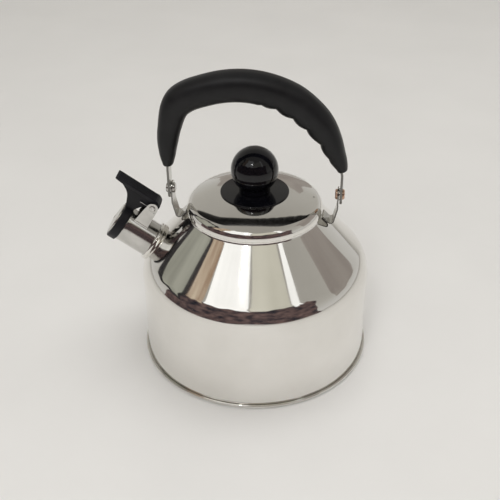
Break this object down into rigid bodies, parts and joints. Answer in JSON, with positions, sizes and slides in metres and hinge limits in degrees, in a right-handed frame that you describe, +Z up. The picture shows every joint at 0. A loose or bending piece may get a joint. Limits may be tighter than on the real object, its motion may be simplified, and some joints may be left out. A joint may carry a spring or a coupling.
{
  "type": "stovetop whistling kettle",
  "caption": "Round steel stovetop kettle with a lift-off lid and ball knob, a folding arched handle, and a short spout closed by a spring-loaded whistle with a thumb lever.",
  "frame": {"origin": "centre of the flat base, on the surface that the kettle stands on", "axes": "+Z up along the body's axis; the spout points along -X; the handle stands in the XZ plane"},
  "size_m": [0.2345, 0.2048, 0.2606],
  "materials": {
    "polished_steel": "mirror polished stainless steel",
    "satin_steel": "satin stainless steel",
    "bright_fastener": "bright steel",
    "copper_rivet": "copper-toned, slightly dull",
    "spring_wire": "drawn spring wire",
    "black_grip": "finely textured black moulding, semi-gloss",
    "black_lever": "matte black moulding",
    "black_gloss": "high-gloss black moulding"
  },
  "bodies": {
    "body": {"body_shell": "polished_steel", "base_pan": "polished_steel", "spout_tube": "satin_steel", "spout_ring": "satin_steel", "hinge_bracket": "satin_steel", "hinge_pin": "bright_fastener", "whistle_spring": "spring_wire", "bracket_left": "satin_steel", "bracket_right": "satin_steel", "pivot_rivet_left": "bright_fastener", "pivot_rivet_right": "copper_rivet", "pivot_washer_left": "bright_fastener", "pivot_washer_right": "bright_fastener"},
    "handle": {"handle_grip": "black_grip", "handle_strap": "satin_steel"},
    "lid": {"lid_shell": "polished_steel", "lid_collar": "polished_steel", "knob_flange": "black_gloss", "knob_ball": "black_gloss", "knob_screw": "bright_fastener", "screw_washer": "bright_fastener"},
    "whistle": {"whistle_lever": "black_lever", "whistle_front": "satin_steel", "whistle_back": "satin_steel"}
  },
  "joints": [
    {"name": "handle_fold", "type": "hinge", "parent": "body", "child": "handle", "pos_m": [0, 0, 0.15427], "axis": [1, 0, 0], "range_deg": [-105, 105]},
    {"name": "lid_lift", "type": "slide", "parent": "body", "child": "lid", "axis": [0, 0, 1], "range_m": [0, 0.03]},
    {"name": "whistle_lift", "type": "hinge", "parent": "body", "child": "whistle", "pos_m": [-0.08756, 0, 0.13745], "axis": [0, 1, 0], "range_deg": [0, 48], "stiffness_Nm_per_rad": 0.12, "springref_deg": -28.65, "deforming": ["whistle_spring"]}
  ]
}
